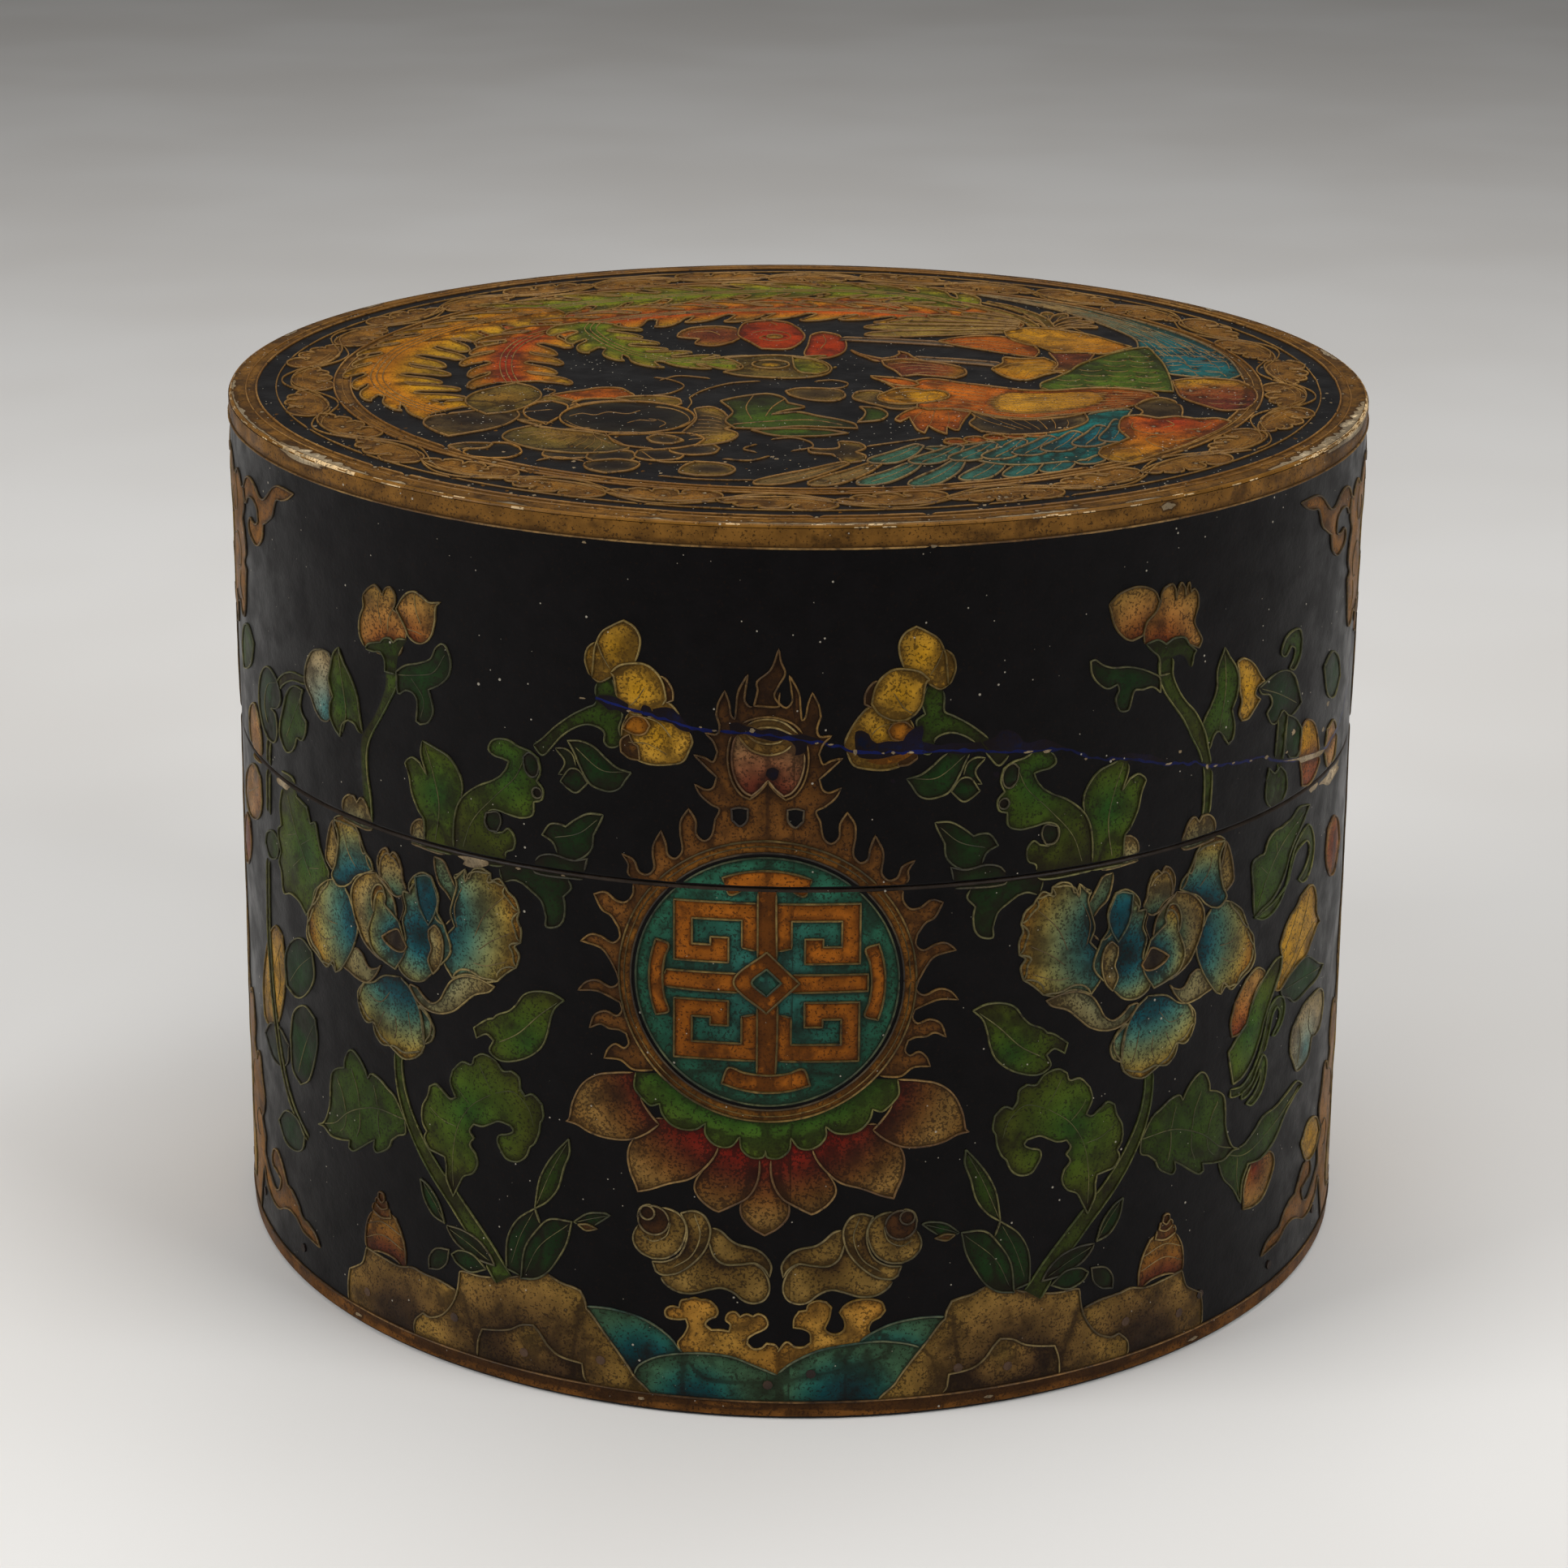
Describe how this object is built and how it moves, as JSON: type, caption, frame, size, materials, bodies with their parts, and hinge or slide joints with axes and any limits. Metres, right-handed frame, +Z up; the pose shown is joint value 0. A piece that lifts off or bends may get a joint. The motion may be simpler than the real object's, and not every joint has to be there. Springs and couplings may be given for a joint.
{
  "type": "round lacquered wooden box",
  "caption": "Round lidded wooden box in carved and painted black lacquer; the flush lid lifts off over an inner collar.",
  "frame": {"origin": "centre of the foot, on the surface the box stands on", "axes": "+Z up along the box's axis, the way the lid lifts; the front of the decoration faces -Y"},
  "size_m": [0.364, 0.3645, 0.274],
  "materials": {
    "black_lacquer": "black lacquer over gesso on bent wood, carved and painted, softly glossy and worn",
    "bare_board": "old softwood planks under a thin dark coat, matt",
    "bamboo": "whittled bamboo, matt"
  },
  "bodies": {
    "body": {"body_wall": "black_lacquer", "body_collar": "black_lacquer", "bottom_plank_front": "bare_board", "bottom_plank_middle": "bare_board", "bottom_plank_back": "bare_board", "bottom_dowel_1": "bamboo", "bottom_dowel_2": "bamboo", "bottom_dowel_3": "bamboo", "bottom_dowel_4": "bamboo", "bottom_peg_01": "bamboo", "bottom_peg_02": "bamboo", "bottom_peg_03": "bamboo", "bottom_peg_04": "bamboo", "bottom_peg_05": "bamboo", "bottom_peg_06": "bamboo", "bottom_peg_07": "bamboo", "bottom_peg_08": "bamboo", "bottom_peg_09": "bamboo", "bottom_peg_10": "bamboo", "bottom_peg_11": "bamboo", "bottom_peg_12": "bamboo", "bottom_peg_13": "bamboo", "bottom_peg_14": "bamboo", "bottom_peg_15": "bamboo", "bottom_peg_16": "bamboo", "bottom_peg_17": "bamboo", "bottom_peg_18": "bamboo", "bottom_peg_19": "bamboo", "bottom_peg_20": "bamboo", "bottom_peg_21": "bamboo", "bottom_peg_22": "bamboo", "bottom_peg_23": "bamboo", "bottom_peg_24": "bamboo", "bottom_peg_25": "bamboo", "bottom_peg_26": "bamboo", "bottom_peg_27": "bamboo", "bottom_peg_28": "bamboo", "bottom_peg_29": "bamboo", "bottom_peg_30": "bamboo", "bottom_peg_31": "bamboo", "bottom_peg_32": "bamboo"},
    "lid": {"lid_wall": "black_lacquer", "lid_ledge": "black_lacquer", "lid_plank_front": "black_lacquer", "lid_plank_middle": "black_lacquer", "lid_plank_back": "black_lacquer", "lid_dowel_1": "bamboo", "lid_dowel_2": "bamboo", "lid_dowel_3": "bamboo", "lid_dowel_4": "bamboo"}
  },
  "joints": [
    {"name": "lid_lift", "type": "slide", "parent": "body", "child": "lid", "axis": [0, 0, 1], "range_m": [0, 0.12]}
  ]
}
